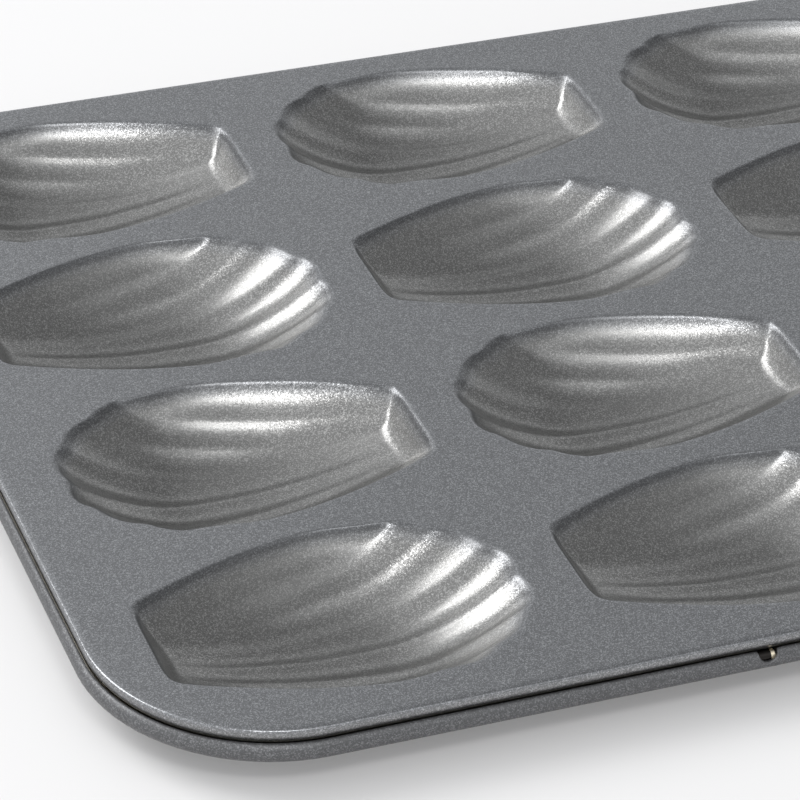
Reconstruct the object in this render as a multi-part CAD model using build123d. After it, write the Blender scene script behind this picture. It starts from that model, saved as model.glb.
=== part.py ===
import os
from math import acos, ceil, degrees, sqrt

from build123d import *

# Sheet and layout, millimetres
sheet_thickness = 0.8
columns = 4
rows = 4
column_pitch = 88.95
row_pitch = 59.43

# One shell cup: its length, half its width, and the depth of its middle ridge
cup_length = 78.0
cup_half_width = 26.1
ridge_depth = 13.15
flute_chords = 3
end_wall_run = 4.8
end_wall_drop = 7.1

# Rim: flat border beyond the cups, rounded shoulder, wall and curl round the wire
end_border = 12.55
side_border = 9.3
corner_radius = 38.0
corner_runs = 6
shoulder_radius = 1.6
wall_depth = 2.13
bend_radius = 1.6
bend_step = 45.0
wire_diameter = 2.7
wire_clearance = 0.15
wire_inset = 0.7
wire_sides = 10
curl_end_angle = 70.0

pan_length = (columns - 1) * column_pitch + cup_length + 2 * end_border
pan_width = (rows - 1) * row_pitch + 2 * cup_half_width + 2 * side_border
hollow_radius = wire_diameter / 2 + wire_clearance
bend_reach = bend_radius + hollow_radius
wire_centre = Vector(-wire_inset, -wall_depth - sqrt(bend_reach**2 - (bend_radius - wire_inset) ** 2))

# Cross sections of a cup, from beyond its narrow end to beyond its wide end.
# Places along the cup are shares of its length.
station_shares = (-0.038, 0.154, 0.372, 0.59, 0.756, 0.897, 1.038)
# Widths of the three outer ridges and of the lip above the panel, shares of half the cup's width
width_shares = (
    (0.176, 0.188, 0.303, 0.586),
    (0.203, 0.362, 0.494, 0.776),
    (0.271, 0.491, 0.67, 0.971),
    (0.331, 0.6, 0.819, 1.02),
    (0.368, 0.707, 0.953, 0.986),
    (0.41, 0.839, 1.1, 1.14),
    (0.469, 0.976, 1.25, 1.29),
)
# Depths of the middle ridge, the three outer ridges and the lip, shares of the ridge depth
depth_shares = (
    (0.395, 0.403, 0.426, 0.198, -0.228),
    (0.678, 0.659, 0.593, 0.443, -0.228),
    (0.941, 0.871, 0.789, 0.586, -0.226),
    (0.991, 0.898, 0.772, 0.505, -0.222),
    (0.808, 0.673, 0.423, -0.049, -0.366),
    (0.453, 0.216, -0.356, -0.899, -1.116),
    (-0.306, -0.317, -1.237, -1.75, -1.979),
)
# How far the four flutes on each side bow out beyond the line between their ridges, shares of the ridge depth
bow_shares = (
    (0.011, 0.008, 0.008, 0.008),
    (0.036, 0.028, 0.025, 0.024),
    (0.088, 0.079, 0.063, 0.061),
    (0.114, 0.107, 0.092, 0.083),
    (0.112, 0.117, 0.07, 0.056),
    (0.102, 0.126, 0.041, 0.032),
    (0.099, 0.129, 0.038, 0.03),
)


def flute(inner, outer, bow):
    """Points across a flute after its inner ridge, bowed out of the cup, up to its outer ridge."""
    across = outer - inner
    outward = Vector(0, across.Z, -across.Y).normalized()
    steps = [step / flute_chords for step in range(1, flute_chords + 1)]
    return [inner + across * step + outward * (4 * bow * step * (1 - step)) for step in steps]


def cup_section(station):
    """Points of one cross section of a cup, from lip to lip."""
    x = cup_length * station_shares[station]
    widths = [0.0] + [cup_half_width * share for share in width_shares[station]]
    depths = [ridge_depth * share for share in depth_shares[station]]
    ridges = [Vector(x, width, -depth) for width, depth in zip(widths, depths)]
    half = [ridges[0]]
    for inner, outer, share in zip(ridges, ridges[1:], bow_shares[station]):
        half += flute(inner, outer, ridge_depth * share)
    return [Vector(p.X, -p.Y, p.Z) for p in reversed(half[1:])] + half


def sideways(along, across):
    """Part within the section of the unit normal that points out of the cup."""
    normal = across.cross(along).normalized()
    return Vector(0, normal.Y, normal.Z)


def grown(sections, distance):
    """The sections with every wall moved out of the cup by the distance."""
    moved = []
    for row, points in enumerate(sections):
        behind, ahead = sections[max(row - 1, 0)], sections[min(row + 1, len(sections) - 1)]
        line = []
        for place, point in enumerate(points):
            along = ahead[place] - behind[place]
            left, right = points[max(place - 1, 0)], points[min(place + 1, len(points) - 1)]
            walls = [across for across in (point - left, right - point) if across.length]
            outward = sum((sideways(along, across) for across in walls), Vector()) * (1 / len(walls))
            line.append(point + outward * (distance / outward.dot(outward)))
        moved.append(line)
    return moved


def skinned(sections):
    """Closed solid through the sections, with flat three-sided facets between neighbouring ones."""
    count = len(sections[0])
    faces = [make_face(Polyline(*sections[end], close=True)).face() for end in (0, -1)]
    for before, after in zip(sections, sections[1:]):
        for place in range(count):
            a, b = before[place], before[(place + 1) % count]
            d, c = after[place], after[(place + 1) % count]
            left_half = place < count // 2
            corners = ((a, b, c), (a, c, d)) if left_half else ((a, b, d), (b, c, d))
            faces += [Face(Wire.make_polygon(three)) for three in corners]
    return Solid(Shell(faces))


def cup_space(distance):
    """The space inside a cup, its walls and its flat sloping end moved out by the distance."""
    sections = [cup_section(station) for station in range(len(station_shares))]
    body = skinned(grown(sections, distance) if distance else sections)
    slope = Vector(end_wall_drop, 0, end_wall_run).normalized()
    return split(body, bisect_by=Plane(slope * -distance, z_dir=slope), keep=Keep.TOP)


def around(centre, radius, angle):
    """Point on a circle."""
    return centre + Vector(radius, 0).rotate(Axis.Z, angle)


def bent(centre, radius, first, last):
    """Points round a bend, evenly spaced."""
    chords = ceil(abs(last - first) / bend_step)
    return [around(centre, radius, first + (last - first) * n / chords) for n in range(chords + 1)]


def rim_section():
    """Section of the rim's sheet, its origin on the panel's top in line with the wall's outer face."""
    shoulder = Vector(-shoulder_radius, -shoulder_radius)
    bend = Vector(-bend_radius, -wall_depth)
    turn = degrees(acos((bend_radius - wire_inset) / bend_reach))
    start, end = 180 - turn, 360 + curl_end_angle
    points = [Vector(-shoulder_radius, -sheet_thickness)]
    points += bent(shoulder, shoulder_radius, 90, 0)
    points += bent(bend, bend_radius, 0, -turn)[:-1]
    points += bent(wire_centre, hollow_radius, start, end)
    points += bent(wire_centre, hollow_radius + sheet_thickness, end, start)[:-1]
    points += bent(bend, bend_radius - sheet_thickness, -turn, 0)
    points += bent(shoulder, shoulder_radius - sheet_thickness, 0, 90)[:-1]
    return make_face(Polyline(*points, close=True))


def wall_line():
    """Closed line of the wall's outer face, each corner a chain of short straight runs."""
    corner = Vector(pan_length / 2 - corner_radius, pan_width / 2 - corner_radius)
    spots = [Vector(pan_length / 2, 0)]
    for quarter, (side, end) in enumerate(((1, 1), (-1, 1), (-1, -1), (1, -1))):
        centre = Vector(corner.X * side, corner.Y * end)
        turns = [90 * (quarter + run / corner_runs) for run in range(corner_runs + 1)]
        spots += [around(centre, corner_radius, turn) for turn in turns]
    return Polyline(*spots, close=True)


def round_the_pan(section):
    """Carry a section of the rim all the way round the pan."""
    path = wall_line()
    along = path % 0
    plane = Plane(path @ 0, x_dir=along.cross(Vector(0, 0, 1)), z_dir=-along)
    return sweep(plane * section, path=path, transition=Transition.RIGHT)


def cup_places():
    """Every cup's place, with every other row of cups turned end for end."""
    for row in range(rows):
        for column in range(columns):
            x = (column - (columns - 1) / 2) * column_pitch
            y = (row - (rows - 1) / 2) * row_pitch
            yield Location((x, y, 0), (0, 0, 180 * (row % 2))) * Location((-cup_length / 2, 0, 0))


def pan_sheet():
    """The pressed sheet: the panel with its rim, the cups' shells below it and their hollows cut out."""
    flat = offset(make_face(wall_line()), amount=-shoulder_radius, kind=Kind.INTERSECTION)
    panel = extrude(flat, amount=-sheet_thickness)
    hollow = cup_space(0)
    shell = split(cup_space(sheet_thickness), bisect_by=Plane.XY, keep=Keep.BOTTOM)
    places = list(cup_places())
    sheet = panel + round_the_pan(rim_section())
    sheet = sheet + [place * shell for place in places]
    return sheet - [place * hollow for place in places]


def rim_wire():
    """The wire inside the curl, a closed ring."""
    return round_the_pan(Pos(wire_centre) * RegularPolygon(wire_diameter / 2, wire_sides).face())


sheet = pan_sheet()
lift = Pos(0, 0, -sheet.bounding_box().min.Z)
os.makedirs("parts", exist_ok=True)
for name, body in (("pan_sheet", sheet), ("rim_wire", rim_wire())):
    body = lift * body
    body.label = name
    export_step(body, f"parts/{name}.step", write_pcurves=False)
    print(name, round(body.volume), body.is_valid, len(body.solids()), body.bounding_box())
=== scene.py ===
import math

import bmesh
import bpy
import numpy as np
from mathutils import Matrix, Vector
from mathutils.geometry import delaunay_2d_cdt


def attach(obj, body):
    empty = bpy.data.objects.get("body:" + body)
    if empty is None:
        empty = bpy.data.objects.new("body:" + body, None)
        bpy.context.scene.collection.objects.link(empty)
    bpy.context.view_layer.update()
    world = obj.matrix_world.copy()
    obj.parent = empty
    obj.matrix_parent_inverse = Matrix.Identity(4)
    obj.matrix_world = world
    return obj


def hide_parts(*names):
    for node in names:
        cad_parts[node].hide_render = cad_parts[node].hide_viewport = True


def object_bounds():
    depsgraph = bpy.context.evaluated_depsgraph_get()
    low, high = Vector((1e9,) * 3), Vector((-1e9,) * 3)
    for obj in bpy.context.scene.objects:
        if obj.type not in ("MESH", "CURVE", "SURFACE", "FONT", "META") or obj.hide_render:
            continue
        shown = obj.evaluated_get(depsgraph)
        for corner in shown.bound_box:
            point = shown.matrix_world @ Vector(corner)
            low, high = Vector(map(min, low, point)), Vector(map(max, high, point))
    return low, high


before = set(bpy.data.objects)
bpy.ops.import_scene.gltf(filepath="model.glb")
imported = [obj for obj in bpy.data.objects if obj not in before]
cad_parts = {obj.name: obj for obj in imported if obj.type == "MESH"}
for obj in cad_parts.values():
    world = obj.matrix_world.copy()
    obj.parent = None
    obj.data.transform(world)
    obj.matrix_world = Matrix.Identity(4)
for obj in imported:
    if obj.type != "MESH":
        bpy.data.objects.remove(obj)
cadLow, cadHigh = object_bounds()
mm = 0.001
print("frame loaded, panel top at", round(cadHigh.z / mm, 3), "mm")


# All lengths are in millimetres until a mesh is made.
pan = {
    "columns": 4,
    "rows": 4,
    "columnPitch": 88.95,
    "rowPitch": 59.43,
    "halfLength": cadHigh.x / mm - 1.6,    # to the wall's outer face, which is inside the curl's
    "halfWidth": cadHigh.y / mm - 1.66,
    "cornerRadius": 38.0,
    "sheet": 0.8,
    "top": cadHigh.z / mm,
}

# A cup runs along X from its narrow end, and the two sides of its section are alike.
cup = {
    "length": 78.0,
    "places": [-3, 5, 15, 25, 35, 45, 55, 65, 75, 82],    # along the cup, for the three tables
    "ridgeOut": [       # the middle ridge, the three beside it and the side's upper line
        [0, 0, 0, 0, 0, 0, 0, 0, 0, 0],
        [4.49, 4.64, 5.12, 5.96, 7.13, 8.17, 9.2, 10, 11.03, 12.06],
        [4.74, 7.24, 10.04, 11.73, 13.79, 15.82, 17.5, 19.94, 22.93, 25.68],
        [7.59, 10.41, 13.65, 16.45, 19.04, 21.29, 23.27, 26.84, 30.61, 32.99],
        [14.98, 17.04, 20.55, 24.26, 26.24, 26.87, 25.43, 28.23, 31.48, 34],
    ],
    "ridgeDown": [      # below the panel's top
        [4.86, 6.94, 9.49, 11.3, 12.42, 12.6, 11.82, 8.09, 1.77, -5.59],
        [4.37, 6.69, 9.35, 11.19, 12.03, 12, 10.72, 6.47, -0.25, -6.15],
        [4.73, 6.25, 7.79, 9.65, 9.66, 8.85, 6.87, 0.58, -9.14, -17.72],
        [2.98, 3.84, 5.32, 6.08, 5.85, 5.22, 3.16, -5.48, -16.3, -24.05],
        [-2.44, -2.36, -2.6, -3.19, -2.96, -2.94, -3.4, -9.87, -20, -27],
    ],
    "bows": [           # how far each flute bows out beyond the line between its ridges
        [-0.3, 0.07, 0.43, 0.5, 0.7, 0.89, 1.34, 1.85, 1.96, 1.33],
        [-0.64, -0.05, 0.51, 0.68, 1.04, 1.17, 0.88, 1.27, 1.22, -0.12],
        [-0.42, -0.06, 0.2, 0.31, 0.5, 0.57, 0.24, 0.67, 1.15, 0.43],
        [-0.38, 0.43, 1.07, 1.18, 1.36, 1.31, 0.64, 0.21, 0.28, 0.41],
    ],
    "endRun": 4.8,            # the flat sloping wall at the narrow end
    "endDrop": 7.1,
    "crestRound": 0.85,       # half the width over which a ridge is rounded
    "crestSamples": 9,
    "edgeRound": 0.9,         # how far above and below the panel the bend at its edge reaches
    "creaseRound": 1.5,       # rounding between the end wall and the flutes
    "cornerRound": 3.4,       # more of it towards the top, which rounds the cup's corners
    "cornerDepth": 4.0,
    "offFloor": 0.02,         # least height of the sheet's underside
    "skirt": 0.8,             # flat strip round the cup, so that the panel shades flat
    "acrossFlute": [0, 0.1, 0.24, 0.42, 0.6, 0.77, 0.9],    # the mesh, in shares of a flute
    "acrossLast": [0, 0.12, 0.28, 0.45, 0.6, 0.72, 0.82, 0.9, 0.955],
    "downEnd": [0, 0.05, 0.1, 0.16, 0.24, 0.36, 0.5, 0.64, 0.76, 0.86, 0.93],    # of the end wall
    "pastCrease": [0, 0.35, 0.75, 1.2, 1.8, 2.6],           # along the flutes, in millimetres
    "nearRim": [0, 0.25, 0.5, 0.8, 1.2, 1.7, 2.4, 3.3, 4.6],
    "alongFlute": 16,         # lines between those two
}

# Where the cup's edges are looked for
search = {
    "rimFrom": 45,         # the wide end, along the cup
    "rimTo": 81,
    "creaseBack": 0.9,     # the end wall's foot, from this far before its top
    "creaseTo": 9,
    "sideTo": 1.2,         # the side's edge, in shares of the last flute
    "sideBack": 1.0,       # at places along the cup from this far before the end wall's top
    "sideSteps": 500,
    "planTo": 1.3,         # the same for a height that is looked up in plan
}


def smoothLine(places, values):
    # Natural cubic spline through the values
    x, y = np.array(places, float), np.array(values, float)
    gap, count = np.diff(x), len(x)
    rows, sums = np.eye(count), np.zeros(count)
    for i in range(1, count - 1):
        rows[i, i - 1:i + 2] = gap[i - 1], 2 * (gap[i - 1] + gap[i]), gap[i]
        sums[i] = 6 * ((y[i + 1] - y[i]) / gap[i] - (y[i] - y[i - 1]) / gap[i - 1])
    bend = np.linalg.solve(rows, sums)

    def at(place):
        i = np.clip(np.searchsorted(x, place) - 1, 0, count - 2)
        after, before, g = place - x[i], x[i + 1] - place, gap[i]
        curved = (bend[i] * before ** 3 + bend[i + 1] * after ** 3) / (6 * g)
        fromLeft = (y[i] / g - bend[i] * g / 6) * before
        fromRight = (y[i + 1] / g - bend[i + 1] * g / 6) * after
        return curved + fromLeft + fromRight

    return at


ridgeOut = [smoothLine(cup["places"], row) for row in cup["ridgeOut"]]
ridgeUp = [smoothLine(cup["places"], [-down for down in row]) for row in cup["ridgeDown"]]
bowAt = [smoothLine(cup["places"], row) for row in cup["bows"]]
lastFlute = len(bowAt) - 1


def pick(table, index):
    # For each place, the value in the table's row that the index names
    return np.take_along_axis(np.stack(table), index[None], 0)[0]


def sharpSection(x, across):
    # across is 0 on the middle ridge, 1 to 4 on the lines beside it, and minus on the other side
    side, place = np.where(across < 0, -1.0, 1.0), np.abs(across)
    flute = np.minimum(place.astype(int), lastFlute)
    t = place - flute
    out, up = [line(x) for line in ridgeOut], [line(x) for line in ridgeUp]
    y0, z0 = pick(out, flute), pick(up, flute)
    dy, dz = pick(out, flute + 1) - y0, pick(up, flute + 1) - z0
    sag = 4 * pick([line(x) for line in bowAt], flute) * t * (1 - t) / np.hypot(dy, dz)
    return side * (y0 + dy * t + sag * dz), z0 + dz * t - sag * dy


def walk(x, across, step):
    # Moves a place across the section by a step in millimetres, over a ridge if need be
    out, up = np.stack([line(x) for line in ridgeOut]), np.stack([line(x) for line in ridgeUp])
    chords = np.hypot(np.diff(out, axis=0), np.diff(up, axis=0))
    cell = np.clip(np.floor(across), -lastFlute - 1, lastFlute).astype(int)
    here = pick(chords, np.where(cell < 0, -cell - 1, cell))
    moved = across + step / here
    wall = cell + 1 if step > 0 else cell
    over = moved > wall if step > 0 else moved < wall
    nextCell = np.clip(cell + (1 if step > 0 else -1), -lastFlute - 1, lastFlute)
    there = pick(chords, np.where(nextCell < 0, -nextCell - 1, nextCell))
    return np.where(over, wall + (moved - wall) * here / there, moved)


def section(x, across):
    # The section with its ridges rounded
    x, across = np.broadcast_arrays(np.asarray(x, float), np.asarray(across, float))
    steps = np.linspace(-cup["crestRound"], cup["crestRound"], cup["crestSamples"])
    spots = [sharpSection(x, walk(x, across, step)) for step in steps]
    return sum(y for y, z in spots) / len(spots), sum(z for y, z in spots) / len(spots)


def solve(test, like, low, high, turns=32):
    # Halving search for where the test turns from false to true, for a whole array at once
    low, high = np.full_like(like, low), np.full_like(like, high)
    for _ in range(turns):
        middle = (low + high) / 2
        past = test(middle)
        low, high = np.where(past, low, middle), np.where(past, middle, high)
    return (low + high) / 2


def heightAt(x, y):
    # Height of the fluted surface over a place in plan
    across = solve(lambda place: section(x, place)[0] > y, x, 0, lastFlute + search["planTo"])
    return section(x, across)[1]


def smoothMax(a, b, soft):
    return np.maximum(a, b) + np.clip(soft - abs(a - b), 0, None) ** 2 / (4 * soft)


def cupGrid():
    # The cup's surface in rows of points, up to a little above the panel at its edge
    rise = cup["edgeRound"]
    slope = cup["endDrop"] / cup["endRun"]
    topX = -rise / slope
    half = [flute + t for flute in range(lastFlute) for t in cup["acrossFlute"]]
    half += [lastFlute + t for t in cup["acrossLast"]] + [lastFlute + 1]
    half = np.array(half, float)
    inner, sideShare = np.minimum(half, lastFlute), np.maximum(half - lastFlute, 0)

    # Where each line along the flutes comes up out of the cup, and how far up the side wall reaches
    endX = solve(lambda x: section(x, inner)[1] > rise, inner, search["rimFrom"], search["rimTo"])
    spots = np.linspace(topX - search["sideBack"], endX[-1], search["sideSteps"])
    reach = solve(lambda t: section(spots, lastFlute + t)[1] > rise, spots, 0, search["sideTo"])

    def at(x):
        y, z = section(x, inner + sideShare * np.interp(x, spots, reach))
        return np.stack([x, y, z], -1)

    # The foot of the end wall
    first = topX - search["creaseBack"]
    startX = solve(lambda x: at(x)[:, 2] > -x * slope, inner, first, search["creaseTo"])
    startX = np.maximum(startX, topX)
    crease = at(startX)
    crease[:, 2] = -startX * slope
    crease[-1] = topX, crease[-1, 1], rise

    # The end wall's top edge, spread evenly, and the lines down it
    spread = crease[-1, 1] * half / half[-1]
    top = np.stack([np.full_like(half, topX), spread, np.full_like(half, rise)], -1)
    rows = [top + (crease - top) * down for down in cup["downEnd"]]
    fluted = [heightAt(row[:, 0], row[:, 1]) for row in rows]

    # Along the flutes, closer together next to the crease and where they come up to the rim
    near = np.array(cup["nearRim"][::-1])
    firstX = startX + cup["pastCrease"][-1]
    between = endX - near[0] - firstX
    places = [startX + past for past in cup["pastCrease"][:-1]]
    places += [firstX + between * n / cup["alongFlute"] for n in range(cup["alongFlute"])]
    places += [endX - back for back in near]
    for x in places:
        rows.append(at(x))
        fluted.append(rows[-1][:, 2])
    grid, fluted = np.stack(rows), np.stack(fluted)

    # The wall and the flutes run softly into each other, more so at the cup's corners
    wall = -grid[..., 0] * slope
    upper = np.clip(np.maximum(fluted, wall) / cup["cornerDepth"] + 1, 0, 1)
    grid[..., 2] = smoothMax(fluted, wall, cup["creaseRound"] + cup["cornerRound"] * upper)
    grid[-1, :, 2] = grid[:, -1, 2] = grid[0, :, 2] = rise
    other = grid[:, :0:-1] * (1, -1, 1)
    return np.concatenate([other, grid], axis=1)


def settle(grid):
    # Bends the surface over into the flat panel at the cup's edge, and keeps it off the floor
    rise, down = cup["edgeRound"], -grid[..., 2]
    bent = np.where(down > rise, down, np.clip(down + rise, 0, None) ** 2 / (4 * rise))
    deepest = bent.max()
    scale = min(1, (pan["top"] - pan["sheet"] - cup["offFloor"]) / deepest)
    print("deepest", round(deepest, 3), "depth scale", round(scale, 4))
    return np.concatenate([grid[..., :2], -bent[..., None] * scale], -1)


def ringOf(grid, doubled=0.02):
    # The cup's outline, once round, with the doubled points at its corners left out
    loop = list(grid[0]) + list(grid[1:, -1]) + list(grid[-1, ::-1]) + list(grid[::-1, 0])
    ring = [loop[0]]
    for spot in loop[1:]:
        if np.linalg.norm(spot - ring[-1]) > doubled:
            ring.append(spot)
    if np.linalg.norm(ring[0] - ring[-1]) < doubled:
        ring.pop()
    return np.array(ring)


def widened(ring, distance):
    # The outline moved outwards in plan
    along = np.roll(ring, -1, 0) - np.roll(ring, 1, 0)
    away = np.stack([along[:, 1], -along[:, 0], np.zeros(len(ring))], -1)
    return ring + distance * away / np.linalg.norm(away, axis=1)[:, None]


def meshFrom(name, points, faces):
    mesh = bpy.data.meshes.new(name)
    mesh.from_pydata((np.asarray(points) * mm).tolist(), [], faces)
    mesh.update()
    return mesh


def gridFaces(rows, columns, start=0, closedRows=False, closedColumns=False):
    return [
        (start + r * columns + c, start + r * columns + (c + 1) % columns,
         start + (r + 1) % rows * columns + (c + 1) % columns, start + (r + 1) % rows * columns + c)
        for r in range(rows if closedRows else rows - 1)
        for c in range(columns if closedColumns else columns - 1)
    ]


def welded(mesh, distance=0.004):
    work = bmesh.new()
    work.from_mesh(mesh)
    bmesh.ops.remove_doubles(work, verts=work.verts, dist=distance * mm)
    bmesh.ops.dissolve_degenerate(work, edges=work.edges, dist=distance * mm)
    for face in work.faces:
        face.smooth = True
    work.to_mesh(mesh)
    work.free()
    return mesh


grid = settle(cupGrid())
rowCount, columnCount = grid.shape[:2]
ring = ringOf(grid)
turning = ring[:, 0] * np.roll(ring[:, 1], -1) - np.roll(ring[:, 0], -1) * ring[:, 1]
if turning.sum() < 0:    # the outline is to run anticlockwise, seen from above
    ring = ring[::-1]
skirt = widened(ring, cup["skirt"])
centre = np.array([cup["length"] / 2, 0, 0])
points = np.concatenate([grid.reshape(-1, 3), ring, skirt]) - centre
points[:, 2] += pan["top"]
faces = gridFaces(rowCount, columnCount)
faces += gridFaces(2, len(ring), rowCount * columnCount, closedColumns=True)
cupMesh = welded(meshFrom("shellCup", points, [face[::-1] for face in faces]))
print("cup", len(cupMesh.polygons), "faces, ring", len(ring))


class Value:
    # One output of a node, which takes part in Python expressions
    def __init__(self, nodes, made, name=0):
        self.nodes, self.made, self.name = nodes, made, name

    def part(self, name):
        return Value(self.nodes, self.made, name)

    def __add__(self, other):
        return self.nodes.math("ADD", self, other)

    def __radd__(self, other):
        return self.nodes.math("ADD", other, self)

    def __sub__(self, other):
        return self.nodes.math("SUBTRACT", self, other)

    def __rsub__(self, other):
        return self.nodes.math("SUBTRACT", other, self)

    def __mul__(self, other):
        return self.nodes.math("MULTIPLY", self, other)

    def __rmul__(self, other):
        return self.nodes.math("MULTIPLY", other, self)

    def __truediv__(self, other):
        return self.nodes.math("DIVIDE", self, other)

    def __rtruediv__(self, other):
        return self.nodes.math("DIVIDE", other, self)


class Nodes:
    # Adds nodes to the tree of a material, a world or a node group
    def __init__(self, tree):
        self.tree = tree
        tree.nodes.clear()

    def add(self, kind, settings=None, sockets=None):
        made = self.tree.nodes.new(kind)
        for key, value in (settings or {}).items():
            setattr(made, key, value)
        for key, value in (sockets or {}).items():
            if isinstance(value, Value):
                self.tree.links.new(value.made.outputs[value.name], made.inputs[key])
            else:
                made.inputs[key].default_value = value
        return Value(self, made)

    def math(self, operation, a, b=0.0):
        return self.add("ShaderNodeMath", {"operation": operation}, {0: a, 1: b})

    def vector(self, operation, sockets):
        return self.add("ShaderNodeVectorMath", {"operation": operation}, sockets)

    def mixed(self, factor, a, b):
        return self.add("ShaderNodeMix", {"data_type": "RGBA"}, {0: factor, 6: a, 7: b}).part(2)

    def ramp(self, value, start, end, low=0.0, high=1.0, change="SMOOTHSTEP"):
        return self.add("ShaderNodeMapRange", {"interpolation_type": change}, {
            0: value, 1: start, 2: end, 3: low, 4: high,
        })


def shaderNodes(owner):
    owner.use_nodes = True
    return Nodes(owner.node_tree)


# Geometry Nodes: the cups in rows, every other row turned end for end
def cupArray():
    tree = bpy.data.node_groups.new("cupRows", "GeometryNodeTree")
    face = tree.interface
    inputs = (
        ("Geometry", "Geometry"), ("Columns", "Int"), ("Rows", "Int"),
        ("Column Pitch", "Float"), ("Row Pitch", "Float"), ("Material", "Material"),
    )
    for name, kind in inputs:
        face.new_socket(name, in_out="INPUT", socket_type="NodeSocket" + kind)
    face.new_socket("Geometry", in_out="OUTPUT", socket_type="NodeSocketGeometry")

    make = Nodes(tree)
    given = make.add("NodeGroupInput")
    columns, rows = given.part("Columns"), given.part("Rows")
    sizeX = (columns - 1.0) * given.part("Column Pitch")
    sizeY = (rows - 1.0) * given.part("Row Pitch")
    lattice = make.add("GeometryNodeMeshGrid", {}, {
        "Size X": sizeX, "Size Y": sizeY, "Vertices X": columns, "Vertices Y": rows,
    })
    place = make.add("ShaderNodeSeparateXYZ", {}, {"Vector": make.add("GeometryNodeInputPosition")})
    row = make.math("ROUND", (place.part("Y") + sizeY / 2.0) / given.part("Row Pitch"))
    turn = make.add("ShaderNodeCombineXYZ", {}, {"Z": make.math("MODULO", row, 2.0) * math.pi})
    cups = make.add("GeometryNodeInstanceOnPoints", {}, {
        "Points": lattice, "Instance": given.part("Geometry"), "Rotation": turn,
    })
    real = make.add("GeometryNodeRealizeInstances", {}, {"Geometry": cups})
    dressed = make.add("GeometryNodeSetMaterial", {}, {
        "Geometry": real, "Material": given.part("Material"),
    })
    make.add("NodeGroupOutput", {}, {"Geometry": dressed})
    return tree


def setInputs(modifier, values):
    for item in modifier.node_group.interface.items_tree:
        if item.item_type == "SOCKET" and item.in_out == "INPUT" and item.name in values:
            modifier[item.identifier] = values[item.name]


def evaluated(thing, name):
    graph = bpy.context.evaluated_depsgraph_get()
    mesh = bpy.data.meshes.new_from_object(thing.evaluated_get(graph), depsgraph=graph)
    mesh.name = name
    return mesh


def placed(name, data):
    thing = bpy.data.objects.new(name, data)
    bpy.context.scene.collection.objects.link(thing)
    return thing


coating = bpy.data.materials.new("flakedNonStickCoating")
rimCoat = bpy.data.materials.new("rimCoat")
backCoat = bpy.data.materials.new("outsideCoat")
wireSteel = bpy.data.materials.new("drawnWireSteel")

cups = placed("cups", cupMesh)
arrayed = cups.modifiers.new("rows", "NODES")
arrayed.node_group = cupArray()
setInputs(arrayed, {
    "Columns": pan["columns"], "Rows": pan["rows"],
    "Column Pitch": pan["columnPitch"] * mm, "Row Pitch": pan["rowPitch"] * mm,
    "Material": coating,
})
cupsMesh = evaluated(cups, "cupsInRows")
bpy.data.objects.remove(cups)
print("cups in rows", len(cupsMesh.polygons), "faces")


# From the panel outwards: a slight dip, a tight shoulder, the wall's bend and the curl
rim = {
    "flat": 0.9,              # flat strip before the dip, so that the panel shades flat
    "brow": 1.75,             # where the panel starts to dip, inside the wall's outer face
    "browTurn": 10.0,         # degrees that it has dipped by at the shoulder
    "browSteps": 5,
    "shoulder": 0.55,
    "shoulderSteps": 6,
    "wallDepth": 1.3,         # where the wall starts to bend inwards
    "bend": 2.88,
    "bendSteps": 5,
    "hollow": 1.5,            # inside radius of the curl
    "curlEnd": 74.0,          # degrees above level, on the curl's outer side
    "curlSteps": 19,
    "inset": 0.7,             # wire's centre, inside the wall's outer face
    "wireRadius": 1.35,
    "wireSides": 20,
    "cornerSteps": 20,
    "sideStep": 22.0,
    "notchPlace": -56.0,      # along the front, where the curl's two ends meet
    "notchHalf": 2.2,
    "notchTurn": 75.0,        # degrees cut off the curl's end there
    "notchStations": (-1.3, -1, -0.9, -0.7, -0.4, 0, 0.4, 0.7, 0.9, 1, 1.3),    # in half widths
}

# The curl runs on from the bend without a kink, which sets how deep the wire lies
bendReach = rim["bend"] + rim["hollow"]
bendAside = rim["bend"] - rim["inset"]
bendTurn = math.degrees(math.acos(bendAside / bendReach))
wireDown = rim["wallDepth"] + math.sqrt(bendReach ** 2 - bendAside ** 2)


def stations():
    # Places round the wall's outer face: (x, y, outward x, outward y)
    radius, steps = pan["cornerRadius"], rim["cornerSteps"]
    cx, cy = pan["halfLength"] - radius, pan["halfWidth"] - radius
    corners = []
    for quarter, (sx, sy) in enumerate(((1, 1), (-1, 1), (-1, -1), (1, -1))):
        arc = []
        for n in range(steps + 1):
            turn = math.radians(90 * (quarter + n / steps))
            dx, dy = math.cos(turn), math.sin(turn)
            arc.append((sx * cx + radius * dx, sy * cy + radius * dy, dx, dy))
        corners.append(arc)
    around = []
    for quarter, arc in enumerate(corners):
        around += arc
        here, there = np.array(arc[-1]), np.array(corners[(quarter + 1) % 4][0])
        long = np.hypot(*(there - here)[:2])
        count = round(long / rim["sideStep"])
        shares = [n / count for n in range(1, count)]
        if quarter == 2:    # the front: closer together round the notch
            middle = (rim["notchPlace"] - here[0]) / long
            half = rim["notchHalf"] / long
            shares = [share for share in shares if abs(share - middle) > 2 * half]
            shares += [middle + half * k for k in rim["notchStations"]]
        for share in sorted(shares):
            x, y = (here + (there - here) * share)[:2]
            around.append((x, y, here[2], here[3]))
    return around


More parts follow.
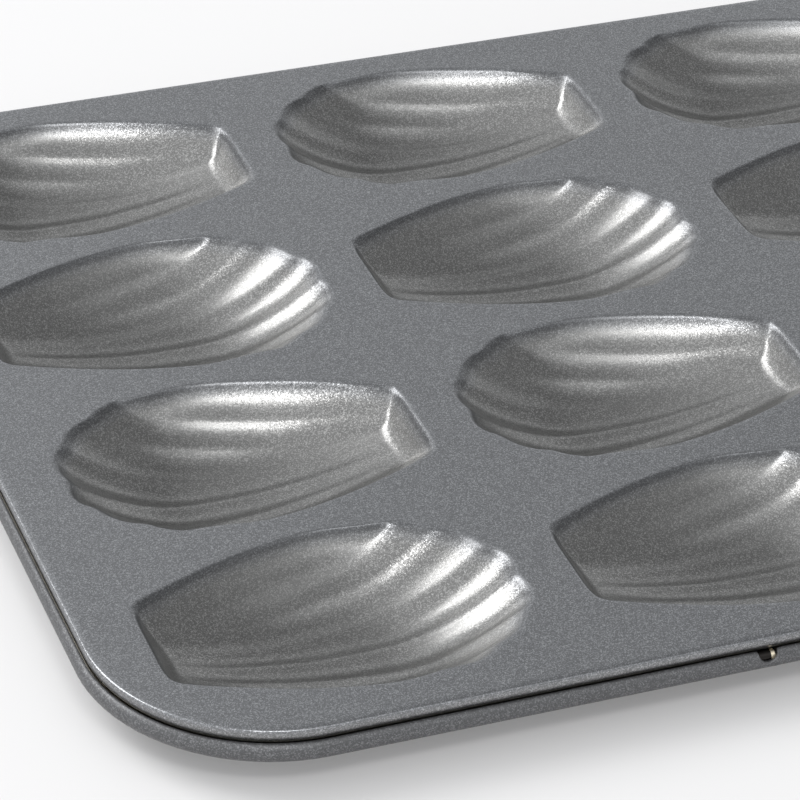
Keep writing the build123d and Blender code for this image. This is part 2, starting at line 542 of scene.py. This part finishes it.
def rimSection(curlEnd):
    # Points (outward, up) from where the panel's top would meet the wall's outer face
    shoulder, dip = rim["shoulder"], math.radians(rim["browTurn"])
    run = rim["brow"] - shoulder * (1 - math.sin(dip))
    fall = math.tan(dip) * run
    shares = [n / rim["browSteps"] for n in range(rim["browSteps"])]
    spots = [(-rim["brow"] - rim["flat"], 0)]
    spots += [(-rim["brow"] + run * t, -fall * t * t / 2) for t in shares]
    shoulderDown = fall / 2 + shoulder * math.cos(dip)

    def arc(x, z, radius, first, last, steps, skip=0):
        for n in range(skip, steps + 1):
            angle = math.radians(first + (last - first) * n / steps)
            spots.append((x + radius * math.cos(angle), z + radius * math.sin(angle)))

    arc(-shoulder, -shoulderDown, shoulder, 90 - rim["browTurn"], 0, rim["shoulderSteps"])
    arc(-rim["bend"], -rim["wallDepth"], rim["bend"], 0, -bendTurn, rim["bendSteps"])
    arc(-rim["inset"], -wireDown, rim["hollow"], 180 - bendTurn, 360 + curlEnd, rim["curlSteps"], 1)
    return spots


def sweep(around, sections):
    points = []
    for (x, y, dx, dy), spots in zip(around, sections):
        points += [(x + u * dx, y + u * dy, pan["top"] + v) for u, v in spots]
    return points


around = stations()
sections = []
for x, y, dx, dy in around:
    off = abs(x - rim["notchPlace"]) / rim["notchHalf"]
    inNotch = off < 1 and math.isclose(dy, -1)
    cut = rim["notchTurn"] * math.sqrt(1 - off * off) if inNotch else 0
    sections.append(rimSection(rim["curlEnd"] - cut))
rimPoints = sweep(around, sections)
rimFaces = gridFaces(len(around), len(sections[0]), closedRows=True)

# The flat panel between the cups and the rim
outer = np.array(rimPoints)[::len(sections[0])]
loops = [outer]
for row in range(pan["rows"]):
    for column in range(pan["columns"]):
        turn = -1 if row % 2 else 1
        shiftX = (column - (pan["columns"] - 1) / 2) * pan["columnPitch"]
        shiftY = (row - (pan["rows"] - 1) / 2) * pan["rowPitch"]
        loops.append((skirt - centre) * (turn, turn, 1) + (shiftX, shiftY, 0))
flat, edges = [], []
for loop in loops:
    first = len(flat)
    flat += [Vector((p[0], p[1])) for p in loop]
    edges += [(first + n, first + (n + 1) % len(loop)) for n in range(len(loop))]
allTriangles, nearest = 0, 1e-5
panelSpots, _, triangles, *_ = delaunay_2d_cdt(flat, edges, [], allTriangles, nearest)
panelSpots = np.array([tuple(p) for p in panelSpots])
middles = panelSpots[np.array(triangles)].mean(1)


def within(spots, loop):
    # Whether each spot is inside a closed line, from how often the line crosses beside it
    inside = np.zeros(len(spots), bool)
    for a, b in zip(loop, np.roll(loop, -1, 0)):
        crosses = (a[1] > spots[:, 1]) != (b[1] > spots[:, 1])
        if crosses.any():
            at = a[0] + (spots[:, 1] - a[1]) / (b[1] - a[1]) * (b[0] - a[0])
            inside ^= crosses & (spots[:, 0] < at)
    return inside


overCup = np.zeros(len(middles), bool)
for loop in loops[1:]:
    overCup |= within(middles, loop[:, :2])
keep = within(middles, outer[:, :2]) & ~overCup
panelFaces = [tuple(face) for face, kept in zip(triangles, keep) if kept]
panelPoints = np.column_stack([panelSpots, np.full(len(panelSpots), pan["top"])])
print("panel", len(panelFaces), "triangles, rim", len(rimFaces), "faces")


def joined(name, parts, distance=0.005):
    # One mesh from pairs of a mesh and its material's number
    work = bmesh.new()
    for part, number in parts:
        before = len(work.faces)
        work.from_mesh(part)
        for face in list(work.faces)[before:]:
            face.smooth = True
            face.material_index = number
    bmesh.ops.remove_doubles(work, verts=work.verts, dist=distance * mm)
    loose = [v for v in work.verts if not v.link_faces]
    bmesh.ops.delete(work, geom=loose, context="VERTS")
    beside = [len(e.link_faces) for e in work.edges]
    turned = [e for e in work.edges if len(e.link_faces) == 2 and not e.is_contiguous]
    print(name, "open edges", beside.count(1), "bad edges", sum(n > 2 for n in beside),
          "turned edges", len(turned))
    mesh = bpy.data.meshes.new(name)
    work.to_mesh(mesh)
    work.free()
    return mesh


skin = joined("panSkin", [
    (cupsMesh, 0),
    (meshFrom("panel", panelPoints, panelFaces), 0),
    (meshFrom("rim", rimPoints, rimFaces), 1),
])
for material in (coating, rimCoat, backCoat):
    skin.materials.append(material)
shell = placed("panShell", skin)
thick = shell.modifiers.new("sheet", "SOLIDIFY")
thick.thickness = pan["sheet"] * mm
thick.offset = -1            # downwards from the skin
thick.use_even_offset = True
thick.use_quality_normals = True
thick.use_rim = True
thick.material_offset = 2    # the back and the cut edge get the outside's coat
thick.material_offset_rim = 2
panMesh = evaluated(shell, "pan_body")
bpy.data.objects.remove(shell)
panBody = placed("pan_body", panMesh)
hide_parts("pan_sheet")
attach(panBody, "root")
print("pan body", sum(len(p.vertices) - 2 for p in panMesh.polygons), "triangles")

# The wire inside the curl
sides, radius = rim["wireSides"], rim["wireRadius"]
turns = [math.tau * n / sides for n in range(sides)]
wireSpots = [
    (-rim["inset"] + radius * math.cos(turn), -wireDown + radius * math.sin(turn)) for turn in turns
]
wirePoints = sweep(around, [wireSpots] * len(around))
wireFaces = gridFaces(len(around), sides, closedRows=True, closedColumns=True)
wireFaces = [(a, d, c, b) for a, b, c, d in wireFaces]    # so that they point outwards
wire = placed("wire_ring", welded(meshFrom("wire_ring", wirePoints, wireFaces)))
wire.data.materials.append(wireSteel)
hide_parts("rim_wire")
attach(wire, "root")
print("wire", len(wire.data.polygons), "faces")


finish = {
    "colour": (0.266, 0.271, 0.281),
    "paintedWarmthInCup": (0.28, 0.278, 0.273),    # painted warm reflection: a warmer grey down in the cups
    "paintedWarmthInCupFrom": 0.3,                 # below the panel, where it begins and where it is full
    "paintedWarmthInCupTo": 3.0,
    "metallic": 0.92,
    "roughness": 0.29,
    "paintedShadeOnBend": 0.36,                 # painted shade: the coat's colour is darker on the bend round each cup, which dims its highlight
    "paintedShadeFrom": (0.02, 0.22),         # below the panel, where that comes in and where it goes
    "paintedShadeTo": (0.8, 1.9),
    "flakeSize": 0.2,
    "flakeTilt": 0.08,
    "dullest": 0.74,                  # the flakes' brightness, times the colour
    "brightest": 1.75,
}
rimFinish = {**finish, "paintedShadeOnBend": 0.0}
outside = {    # the back of the sheet, which also shows on the rolled rim
    **finish,
    "colour": (0.125, 0.126, 0.13),
    "paintedWarmthInCup": (0.125, 0.126, 0.13),
    "metallic": 0.5,
    "roughness": 0.45,
    "paintedShadeOnBend": 0.0,
    "flakeSize": 0.22,
    "flakeTilt": 0.12,
    "dullest": 0.8,
    "brightest": 1.8,
}


def makeCoating(material, look):
    coat = shaderNodes(material)
    place = coat.add("ShaderNodeTexCoord").part("Object")
    flakes = coat.add("ShaderNodeTexVoronoi", {"feature": "F1"}, {
        "Vector": place, "Scale": 1 / (look["flakeSize"] * mm),
    })
    random = flakes.part("Color")

    # Each flake has its own brightness and leans its own way
    share = coat.add("ShaderNodeSeparateColor", {}, {"Color": random})
    bright = share * share * share * (look["brightest"] - look["dullest"]) + look["dullest"]
    normal = coat.add("ShaderNodeNewGeometry").part("Normal")
    tilt = coat.vector("SUBTRACT", {0: random, 1: (0.5, 0.5, 0.5)})
    tilt = coat.vector("SCALE", {0: tilt, "Scale": look["flakeTilt"]})
    tilted = coat.vector("NORMALIZE", {0: coat.vector("ADD", {0: normal, 1: tilt})})

    # What changes with the depth
    height = coat.add("ShaderNodeSeparateXYZ", {}, {0: place}).part("Z")

    def level(depth):
        return (pan["top"] - depth) * mm

    # Painted warm reflection: the colour turns a warmer grey with depth in the cups
    deep = coat.ramp(height, level(look["paintedWarmthInCupFrom"]), level(look["paintedWarmthInCupTo"]), change="LINEAR")
    tone = coat.mixed(deep, (*look["colour"], 1), (*look["paintedWarmthInCup"], 1))
    # Painted shade: the colour is darker on the bend round each cup's edge
    below = coat.ramp(height, level(look["paintedShadeFrom"][0]), level(look["paintedShadeFrom"][1]))
    above = coat.ramp(height, level(look["paintedShadeTo"][1]), level(look["paintedShadeTo"][0]))
    bright = bright * (1 - below * above * look["paintedShadeOnBend"])
    colour = coat.vector("SCALE", {0: tone, "Scale": bright})
    surface = coat.add("ShaderNodeBsdfPrincipled", {}, {
        "Base Color": colour, "Metallic": look["metallic"], "Roughness": look["roughness"],
        "Normal": tilted,
    })
    coat.add("ShaderNodeOutputMaterial", {}, {"Surface": surface})


steel = {
    "colour": (0.3, 0.28, 0.24, 1),
    "paintedShadeInGap": (0.035, 0.032, 0.03, 1),    # painted shade: where the wire shows in the gap of the curl
    "bareEndWithPaintedGlint": (0.95, 0.85, 0.66, 1),       # its bare end in that gap, brightened as a painted highlight
    "endFrom": 0.95,                     # from the gap's middle
    "endTo": 1.75,
    "roughness": 0.3,
}


def makeWire(material):
    wired = shaderNodes(material)
    place = wired.add("ShaderNodeTexCoord").part("Object")
    parts = wired.add("ShaderNodeSeparateXYZ", {}, {0: place})
    front = wired.math("LESS_THAN", parts.part("Y"), 0.0)

    def stretch(low, high):
        # 1 between two places along the front, measured from the middle of the gap
        after = wired.math("GREATER_THAN", parts.part("X"), (rim["notchPlace"] + low) * mm)
        before = wired.math("LESS_THAN", parts.part("X"), (rim["notchPlace"] + high) * mm)
        return after * before * front

    gap = stretch(-rim["notchHalf"], rim["notchHalf"])
    end = stretch(steel["endFrom"], steel["endTo"])
    # Painted shade on the wire in the gap of the curl
    colour = wired.mixed(gap, steel["colour"], steel["paintedShadeInGap"])
    # The wire's bare end: partly its own brighter metal, partly a painted highlight
    colour = wired.mixed(end, colour, steel["bareEndWithPaintedGlint"])
    surface = wired.add("ShaderNodeBsdfPrincipled", {}, {
        "Base Color": colour, "Metallic": 1.0, "Roughness": steel["roughness"],
    })
    wired.add("ShaderNodeOutputMaterial", {}, {"Surface": surface})


makeCoating(coating, finish)
makeCoating(rimCoat, rimFinish)
makeCoating(backCoat, outside)
makeWire(wireSteel)
print("coats and steel made")


ground = {
    "half": 3000,
    "colour": (0.63, 0.625, 0.625, 1),
    "roughness": 0.9,
    "liftColour": (1, 0.99, 0.99, 1),
    "lift": 0.18,    # lightens the shadow, as seen and as mirrored
}
half = ground["half"]
corners = [(-half, -half, 0), (half, -half, 0), (half, half, 0), (-half, half, 0)]
floor = placed("floor", meshFrom("floor", corners, [(0, 1, 2, 3)]))
paper = bpy.data.materials.new("paleFloor")
spread = shaderNodes(paper)
rays = spread.add("ShaderNodeLightPath")
seen = spread.math("MAXIMUM", rays.part("Is Camera Ray"), rays.part("Is Glossy Ray"))
matt = spread.add("ShaderNodeBsdfPrincipled", {}, {
    "Base Color": ground["colour"], "Roughness": ground["roughness"],
})
lift = spread.add("ShaderNodeEmission", {}, {
    "Color": ground["liftColour"], "Strength": seen * ground["lift"],
})
both = spread.add("ShaderNodeAddShader", {}, {0: matt, 1: lift})
spread.add("ShaderNodeOutputMaterial", {}, {"Surface": both})
floor.data.materials.append(paper)
print("floor made")

# Camera at the photograph's angle, its place measured from the middle of the panel's top
view = {
    "place": (-360.151, -691.768, 469.756),
    "right": (0.93696, -0.34794, 0.03227),
    "down": (-0.16506, -0.52208, -0.83677),
    "forward": (0.30799, 0.77870, -0.54660),
    "lens": 181.16,
    "sensor": 36,
    "farthest": 10,    # metres
}
camera = bpy.data.cameras.new("camera")
camera.lens = view["lens"]
camera.sensor_width = view["sensor"]
camera.clip_end = view["farthest"]
eye = placed("camera", camera)
right, up, back = Vector(view["right"]), -Vector(view["down"]), -Vector(view["forward"])
turned = Matrix((right, up, back)).transposed().to_4x4()
x, y, z = view["place"]
eye.matrix_world = Matrix.Translation((x * mm, y * mm, (z + pan["top"]) * mm)) @ turned
bpy.context.scene.camera = eye


def direction(azimuth, elevation):
    # Azimuth 0 is beyond the pan, and plus turns towards +X
    a, e = math.radians(azimuth), math.radians(elevation)
    return math.sin(a) * math.cos(e), math.cos(a) * math.cos(e), math.sin(e)


# Direction, distance and size in metres, and power
lamps = {
    "leftBox": (-53, 43, 2.4, (1.3, 1.3), 28),
    "frontBox": (-166, 52.5, 2.4, (0.65, 0.36), 9.6),
    "backSweep": (-15, 10, 2.4, (1.0, 0.5), 2.0),
}
for name, (azimuth, elevation, distance, size, power) in lamps.items():
    lamp = bpy.data.lights.new(name, "AREA")
    lamp.shape = "RECTANGLE"
    lamp.size, lamp.size_y = size
    lamp.energy = power
    thing = placed(name, lamp)
    thing.location = Vector(direction(azimuth, elevation)) * distance
    thing.rotation_euler = (-thing.location).to_track_quat("-Z", "Y").to_euler()


room = {
    "colour": (0.97, 0.985, 1.0),
    "left": 0.9,
    "right": 0.38,
    "from": -0.25,       # share of the way to the left or right where the change begins and ends
    "to": 0.6,
    "lowGlow": 0.14,     # more towards the horizon
    "glowFrom": 0.95,    # share of the way up where that begins and where it is full
    "glowTo": 0.6,
    "places": [          # softly lighter and darker: direction, reach in degrees and strength
        (102, 31, 40, -0.16),
        (44, 54, 26, -0.18),
        (163, 46, 26, 0.2),
        (144, 53, 20, 0.35),
        (44, 12, 26, 0.3),
        (-33, 8, 26, -0.4),
    ],
}
world = bpy.data.worlds.new("room")
bpy.context.scene.world = world
air = shaderNodes(world)
way = air.add("ShaderNodeTexCoord").part("Generated")
parts = air.add("ShaderNodeSeparateXYZ", {}, {0: way})
glow = air.ramp(parts.part("Z"), room["glowFrom"], room["glowTo"], high=room["lowGlow"])
strength = air.ramp(parts.part("X"), room["from"], room["to"], room["left"], room["right"])
total = strength + glow
for azimuth, elevation, reach, amount in room["places"]:
    near = air.vector("DOT_PRODUCT", {0: way, 1: direction(azimuth, elevation)}).part("Value")
    total = total + air.ramp(near, math.cos(math.radians(reach)), 1.0, high=amount)
sky = air.add("ShaderNodeBackground", {}, {"Color": (*room["colour"], 1), "Strength": total})
air.add("ShaderNodeOutputWorld", {}, {"Surface": sky})
bpy.context.scene.view_settings.view_transform = "Standard"
print("camera, lamps and room made")

print("cad box", [round(v / mm, 2) for v in (*cadLow, *cadHigh)])
